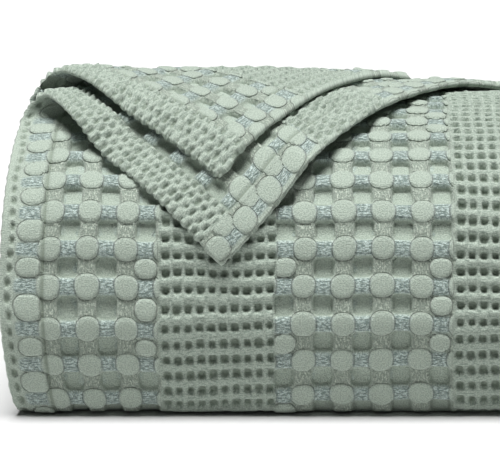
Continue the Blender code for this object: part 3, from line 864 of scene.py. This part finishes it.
def mesh_object(name, points, normals, quads, fans, look, places, material):
    """An object from these arrays, with the flat cloth as its UV map."""
    corners = np.concatenate([quads.ravel(), fans.ravel()])
    used, corners = np.unique(corners, return_inverse=True)
    sizes = np.concatenate([np.full(len(quads), 4), np.full(len(fans), 3)])
    starts = np.concatenate([[0], np.cumsum(sizes)[:-1]])
    mesh = bpy.data.meshes.new(name)
    mesh.vertices.add(len(used))
    mesh.vertices.foreach_set("co", (points[used] * MM + ORIGIN).ravel().astype(np.float32))
    mesh.loops.add(len(corners))
    mesh.loops.foreach_set("vertex_index", corners.astype(np.int32))
    mesh.polygons.add(len(sizes))
    mesh.polygons.foreach_set("loop_start", starts.astype(np.int32))
    mesh.update(calc_edges=True)
    for key, first in (("weave", 0), ("reach", 3)):
        values = look[used, first:first + 3].ravel().astype(np.float32)
        mesh.attributes.new(key, "FLOAT_VECTOR", "POINT").data.foreach_set("vector", values)
    uv = mesh.uv_layers.new(name="cloth")
    uv.data.foreach_set("uv", (places[used][corners] * UV_SCALE).ravel().astype(np.float32))
    mesh.shade_smooth()
    mesh.normals_split_custom_set_from_vertices(normals[used].astype(np.float32))
    mesh.materials.append(material)
    piece = bpy.data.objects.new(name, mesh)
    bpy.context.scene.collection.objects.link(piece)
    return piece


INNER = (slice(1, -1), slice(1, -1))  # a padded grid without its padding


def relief(u, v, face, reverse):
    """How far the face and the reverse lie from the cloth's middle, and for each of them what its
    points carry: weft floats, warp floats, shade and the reaches."""
    hem, past_hem = hem_share(u, v)
    stitch = np.exp(-((past_hem - STITCH_PAST) / STITCH_WIDTH) ** 2)
    lip = LIP * np.exp(-((past_hem + LIP_BEFORE) / STITCH_WIDTH) ** 2)
    offsets, looks = [], []
    for share, is_reverse in ((face, False), (reverse, True)):
        height, (weft, warp, shade), reaches = weave(u, v, is_reverse)
        level = BASE + HEM_THICKER * hem * ((u > U_SECOND) != is_reverse)
        level = level + share * (height * (1.0 - HEM_FLATTER * hem) + lip - stitch)
        offsets.append(-level if is_reverse else level)
        # the groove of the stitches gets painted shade as well
        columns = (weft, warp, np.maximum(shade, stitch), *reaches)
        looks.append(np.stack([a[INNER].ravel() for a in columns], axis=-1))
    offsets[1] = np.minimum(offsets[1], offsets[0] - THINNEST)
    return offsets, looks


def surface_of(middle, out, offset):
    """(points, normals) of one side of the cloth, at this distance from its middle."""
    surface = middle + out * offset[..., None]
    surface[..., 2] = np.maximum(surface[..., 2], LOWEST)
    return surface[INNER].reshape(-1, 3), grid_normals(surface).reshape(-1, 3)


def rim_faces(index, ring):
    """The faces between the rims of the two sides and the middle line of the edge."""
    count = index.size
    here = index[ring[:, 0], ring[:, 1]]
    after = np.roll(here, -1)
    edge = 2 * count + np.arange(len(ring))
    edge_after = np.roll(edge, -1)
    upper = np.stack([after, here, edge, edge_after], axis=-1)
    lower = np.stack([edge_after, edge, here + count, after + count], axis=-1)
    return [upper, lower]


def patch(name, u_lines, v_lines, material):
    """A closed piece of the cloth between these lines, with its relief on both sides."""
    u, v = np.meshgrid(padded(padded(u_lines)), padded(padded(v_lines)))
    middle = folded(u, v)
    out = grid_normals(middle)
    u, v, middle = u[INNER], v[INNER], middle[INNER]
    face, reverse, rolls = exposure(u, v)
    offsets, looks = relief(u, v, face, reverse)
    (top, top_normals), (low, low_normals) = (surface_of(middle, out, a) for a in offsets)
    shown = [((share > SHOWN) | rolls)[INNER] for share in (face, reverse)]
    fine = [a[:-1, :-1] | a[1:, 1:] for a in shown]
    u, v = u[INNER], v[INNER]
    ring = rim_of(*u.shape)
    edge, edge_normals = edge_points(middle, offsets[0] - offsets[1], ring, u, v)
    index = np.arange(u.size).reshape(u.shape)
    at_rim = index[ring[:, 0], ring[:, 1]]
    quads_up, fans_up = face_cells(fine[0], 0, False)
    quads_low, fans_low = face_cells(fine[1], u.size, True)
    places = np.stack([u.ravel(), v.ravel()], axis=-1)
    piece = mesh_object(
        name,
        np.concatenate([top, low, edge]),
        np.concatenate([top_normals, -low_normals, edge_normals]),
        np.concatenate([quads_up, quads_low, *rim_faces(index, ring)]),
        np.concatenate([fans_up, fans_low]),
        np.concatenate([*looks, looks[0][at_rim]]),
        np.concatenate([places, places, places[at_rim]]),
        material,
    )
    piece["flat"] = [(u_lines[-1] - u_lines[0]) * MM, (v_lines[-1] - v_lines[0]) * MM]
    return piece


# ---- materials ----

STROKES_ALONG = 42.0  # strokes in 100 mm along their yarn
STROKES_ACROSS = 105.0
STROKE_NOISE = (("Scale", 1.0), ("Detail", 2.0), ("Roughness", 0.6))
GRAIN_NOISE = (("Scale", 125.0), ("Detail", 2.0))
CLOUD_NOISE = (("Scale", 0.9), ("Detail", 3.0))
FLOAT_STROKES = (0.44, 0.58)  # noise from which a stroke begins to show, and shows in full
CELL_STROKES = (0.48, 0.62)
CELL_REACH = (2.3, 2.9)
KNOTS_SHOW = (0.42, 0.58)
SHADE_LINE_REACH = 1.05  # a thin line of painted shade in the groove round each pad
SHADE_LINE_HALF = 0.07
# reaches over which painted shade fills the small holes and the pockets, and darkens the pockets
# towards their rims
HOLE_SHADE_EDGE = (0.85, 1.12)
POCKET_SHADE_EDGE = (0.95, 1.05)
POCKET_RIM_SHADE = (0.6, 1.0)

# The colours that the ground lies between, and what is mixed into it: how strongly, and to which
# colour
DARK_GROUND = (0.42, 0.487, 0.415, 1.0)
LIGHT_GROUND = (0.475, 0.547, 0.47, 1.0)
DYES = dict(
    weft=(1.0, (0.55, 0.66, 0.63, 1.0)),
    weft_strokes=(0.9, (0.14, 0.20, 0.19, 1.0)),
    warp=(0.85, (0.26, 0.31, 0.255, 1.0)),
    warp_strokes=(0.85, (0.58, 0.65, 0.55, 1.0)),
    cell_strokes=(0.75, (0.19, 0.24, 0.20, 1.0)),
    # shade, hole, pocket, rim and line are painted shade: in the grooves round the pads, the nicks
    # and the stitches, in the small holes, in the pockets and darker at their rims, and in a thin
    # line round each pad
    shade=(0.75, (0.12, 0.15, 0.10, 1.0)),
    hole=(0.5, (0.12, 0.15, 0.10, 1.0)),
    pocket=(0.08, (0.15, 0.19, 0.13, 1.0)),
    rim=(0.35, (0.12, 0.15, 0.10, 1.0)),
    line=(0.3, (0.10, 0.13, 0.10, 1.0)),
    knots=(0.65, (0.25, 0.31, 0.26, 1.0)),
)

# The fine relief of the material: what adds to its grain, and how high it is in metres
FINE_SHARES = dict(line=-1.0, weft_strokes=-0.5, warp_strokes=0.5)
FINE_HEIGHT = 0.0009
FINE_STRENGTH = 0.9
FINISH = {"Roughness": 0.88, "Sheen Weight": 0.25, "Sheen Roughness": 0.5,
          "Specular IOR Level": 0.25}


def node(tree, kind, inputs=(), **settings):
    made = tree.nodes.new(kind)
    for key, value in settings.items():
        setattr(made, key, value)
    for key, value in inputs:
        if isinstance(value, bpy.types.NodeSocket):
            tree.links.new(value, made.inputs[key])
        else:
            made.inputs[key].default_value = value
    return made


def math_node(tree, operation, a, b=0.0, c=0.0):
    made = node(tree, "ShaderNodeMath", ((0, a), (1, b), (2, c)), operation=operation)
    return made.outputs[0]


def mixed(tree, share, a, b):
    made = node(tree, "ShaderNodeMix", ((0, share), (6, a), (7, b)), data_type="RGBA")
    return made.outputs[2]


def ramp(tree, value, low, high):
    made = node(tree, "ShaderNodeMapRange", ((0, value), (1, low), (2, high)),
                interpolation_type="SMOOTHSTEP")
    return made.outputs[0]


def within(tree, value, low, high):
    """1 up to the lower value, going to 0 at the higher one."""
    return math_node(tree, "SUBTRACT", 1.0, ramp(tree, value, low, high))


def noise(tree, where, settings):
    made = node(tree, "ShaderNodeTexNoise", (("Vector", where), *settings))
    return made.outputs["Fac"]


def strokes(tree, along_yarn, across_yarn, limits, share):
    """Up to this share, in short uneven strokes along the yarns."""
    where = node(tree, "ShaderNodeCombineXYZ", (
        ("X", math_node(tree, "MULTIPLY", along_yarn, STROKES_ALONG)),
        ("Y", math_node(tree, "MULTIPLY", across_yarn, STROKES_ACROSS))))
    uneven = noise(tree, where.outputs[0], STROKE_NOISE)
    return math_node(tree, "MULTIPLY", ramp(tree, uneven, *limits), share)


def attribute(tree, name):
    """The three values that the cloth carries at its points by this name."""
    look = node(tree, "ShaderNodeAttribute", attribute_name=name, attribute_type="GEOMETRY")
    parts = node(tree, "ShaderNodeSeparateXYZ", (("Vector", look.outputs["Vector"]),))
    return [parts.outputs[k] for k in "XYZ"]


def cotton():
    """Washed cotton: plain ground, weft floats a little bluer and warp floats lighter, with painted
    shade in its grooves, stitches, holes and pockets.
    """
    material = bpy.data.materials.new("sage_waffle_cotton")
    material.use_nodes = True
    tree = material.node_tree
    weft, warp, shade = attribute(tree, "weave")
    pad_reach, hole_reach, pocket_reach = attribute(tree, "reach")
    flat = node(tree, "ShaderNodeUVMap", uv_map="cloth").outputs[0]
    place = node(tree, "ShaderNodeSeparateXYZ", (("Vector", flat),))
    u, v = place.outputs["X"], place.outputs["Y"]
    grain = noise(tree, flat, GRAIN_NOISE)
    cloud = noise(tree, flat, CLOUD_NOISE)
    # distance from the groove round a pad, where a thin line of painted shade lies; the pocket
    # share is painted shade in the pockets
    from_shade_line = math_node(tree, "ABSOLUTE", math_node(tree, "SUBTRACT", pad_reach, SHADE_LINE_REACH))
    pocket = within(tree, pocket_reach, *POCKET_SHADE_EDGE)
    shares = dict(
        weft=weft,
        weft_strokes=strokes(tree, u, v, FLOAT_STROKES, weft),
        warp=warp,
        warp_strokes=strokes(tree, v, u, FLOAT_STROKES, warp),
        cell_strokes=strokes(tree, u, v, CELL_STROKES, within(tree, hole_reach, *CELL_REACH)),
        # shade, hole, pocket, rim and line: painted shade in the grooves, nicks and stitches, the
        # small holes, the pockets and their rims, and round each pad
        shade=shade,
        hole=within(tree, hole_reach, *HOLE_SHADE_EDGE),
        pocket=pocket,
        rim=math_node(tree, "MULTIPLY", pocket, ramp(tree, pocket_reach, *POCKET_RIM_SHADE)),
        line=within(tree, from_shade_line, 0.0, SHADE_LINE_HALF),
        knots=ramp(tree, grain, *KNOTS_SHOW),
    )
    colour = mixed(tree, cloud, DARK_GROUND, LIGHT_GROUND)
    for name, (strength, other) in DYES.items():
        colour = mixed(tree, math_node(tree, "MULTIPLY", shares[name], strength), colour, other)
    height = grain
    for name, share in FINE_SHARES.items():
        height = math_node(tree, "MULTIPLY_ADD", shares[name], share, height)
    raised = node(tree, "ShaderNodeBump", (
        ("Height", height), ("Distance", FINE_HEIGHT), ("Strength", FINE_STRENGTH)))
    shader = tree.nodes["Principled BSDF"]
    tree.links.new(colour, shader.inputs["Base Color"])
    tree.links.new(raised.outputs[0], shader.inputs["Normal"])
    for key, value in FINISH.items():
        shader.inputs[key].default_value = value
    return material


# ---- the pieces of cloth ----

# Distances between the lines of the patches' grids
FINE_U = 1.08
FINE_V = 1.17
MEDIUM = 1.5
THIRD_FINE = 1.4  # across the third layer
THIRD_COARSE = 1.6
END_V = 3.1  # along a stretch that only shows at its ends

# Where the patches meet
FRONT_PARTS = ("left", "middle", "right")
FLOOR_V = 416.0  # where the front patches stop, under the bundle
CORNER_V = 200.0  # where the turned corner's patch stops, under the top layer
SEAM_THIRD = U_FOURTH + 30.0
SEAM_SECOND = U_LEFT - 60.0
SEAM_FIRST = U_SECOND + 30.0
THIRD_LEFT = (U_LEFT - 16.0, U_THIRD + 350.0)  # u of the third layer where it shows
FIRST_TURN, SECOND_TURN, THIRD_TURN = 1, 3, 5  # their numbers among the sections


def stretch(first, last, fine_stretches, fine, coarse):
    """Lines from first to last, closer together in the fine stretches."""
    stops, values = [first], None
    for low, high in fine_stretches:
        stops += [low, high]
    stops.append(last)
    for i, (low, high) in enumerate(zip(stops, stops[1:])):
        if high - low < TINY:
            continue
        part = lines(low, high, fine if i % 2 else coarse)
        values = part if values is None else np.concatenate([values, part[1:]])
    return values


def turn_stretch(number):
    """v of the stretch that shows at a turn of the pack."""
    section = SECTIONS[number]
    bare = SKEW if section["top"] else 0.0
    return section["v"] - bare - TURN_MARGIN, section["end"] + TURN_MARGIN


def cloth():
    """The whole cloth, in patches whose seams lie where they don't show."""
    outer_turns = [turn_stretch(FIRST_TURN), turn_stretch(THIRD_TURN)]
    front_v = lines(0.0, FLOOR_V, FINE_V)
    outer_v = stretch(FLOOR_V, CUT_LENGTH, outer_turns, MEDIUM, END_V)
    fourth_v = stretch(0.0, CUT_LENGTH, [turn_stretch(SECOND_TURN)], MEDIUM, END_V)
    third_v = stretch(0.0, CUT_LENGTH, [(0.0, CORNER_V)], FINE_V, END_V)
    corner_v = lines(0.0, CORNER_V, FINE_V)
    second_v = lines(CORNER_V, CUT_LENGTH, END_V)
    third_u = stretch(SEAM_SECOND, SEAM_FIRST, [THIRD_LEFT], THIRD_FINE, THIRD_COARSE)
    edges = np.linspace(0.0, SEAM_THIRD, len(FRONT_PARTS) + 1)
    layout = [("front_" + name, lines(low, high, FINE_U), front_v)
              for name, low, high in zip(FRONT_PARTS, edges, edges[1:])]
    layout += [
        ("outer_layer", lines(0.0, SEAM_THIRD, MEDIUM), outer_v),
        ("fourth_layer", lines(SEAM_THIRD, SEAM_SECOND, MEDIUM), fourth_v),
        ("third_layer", third_u, third_v),
        ("turned_corner", lines(SEAM_FIRST, CUT_WIDTH, FINE_U), corner_v),
        ("second_layer", lines(SEAM_FIRST, CUT_WIDTH, MEDIUM), second_v),
    ]
    material = cotton()
    return [patch(name, u_lines, v_lines, material) for name, u_lines, v_lines in layout]


# ---- camera, floor and light ----

def camera():
    view = bpy.data.cameras.new("camera")
    seen = bpy.data.objects.new("camera", view)
    bpy.context.scene.collection.objects.link(seen)
    back = CAMERA_DISTANCE * math.cos(CAMERA_ELEVATION)
    rise = CAMERA_DISTANCE * math.sin(CAMERA_ELEVATION)
    aim_x = (TARGET_PIXEL - LEFT_END_PIXEL) * PIXEL
    aim = Vector((aim_x, TARGET_DEPTH, TARGET_HEIGHT)) + Vector(ORIGIN)
    seen.location = aim + Vector((0.0, -back, rise))
    seen.rotation_euler = (0.5 * math.pi - CAMERA_ELEVATION, 0.0, 0.0)
    view.sensor_width = SENSOR
    view.lens = SENSOR * CAMERA_DISTANCE / (IMAGE_WIDTH * PIXEL)
    view.shift_x = 0.5 - TARGET_PIXEL / IMAGE_WIDTH
    view.clip_end = CLIP_END
    bpy.context.scene.camera = seen


def key_light():
    light = bpy.data.lights.new("key", "SUN")
    light.angle, light.energy = KEY_ANGLE, KEY_STRENGTH
    lamp = bpy.data.objects.new("key", light)
    lamp.rotation_euler = Vector(KEY_WAY).to_track_quat("-Z", "Y").to_euler()
    bpy.context.scene.collection.objects.link(lamp)


def sky_light():
    world = bpy.data.worlds.new("studio")
    world.use_nodes = True
    background = world.node_tree.nodes["Background"]
    background.inputs["Color"].default_value = SKY
    background.inputs["Strength"].default_value = SKY_STRENGTH
    bpy.context.scene.world = world


def pale_floor():
    bpy.ops.mesh.primitive_plane_add(size=FLOOR_SIZE, location=(0.0, 0.0, FLOOR_Z))
    floor = bpy.context.object
    floor.name = "floor"
    pale = bpy.data.materials.new("pale_floor")
    pale.use_nodes = True
    shader = pale.node_tree.nodes["Principled BSDF"]
    shader.inputs["Base Color"].default_value = FLOOR_COLOUR
    shader.inputs["Roughness"].default_value = FLOOR_ROUGHNESS
    floor.data.materials.append(pale)


camera()
sky_light()
key_light()
pale_floor()
for piece in cloth():
    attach(piece, "root")
    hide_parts("blanket")

bpy.context.scene.view_settings.view_transform = "Standard"
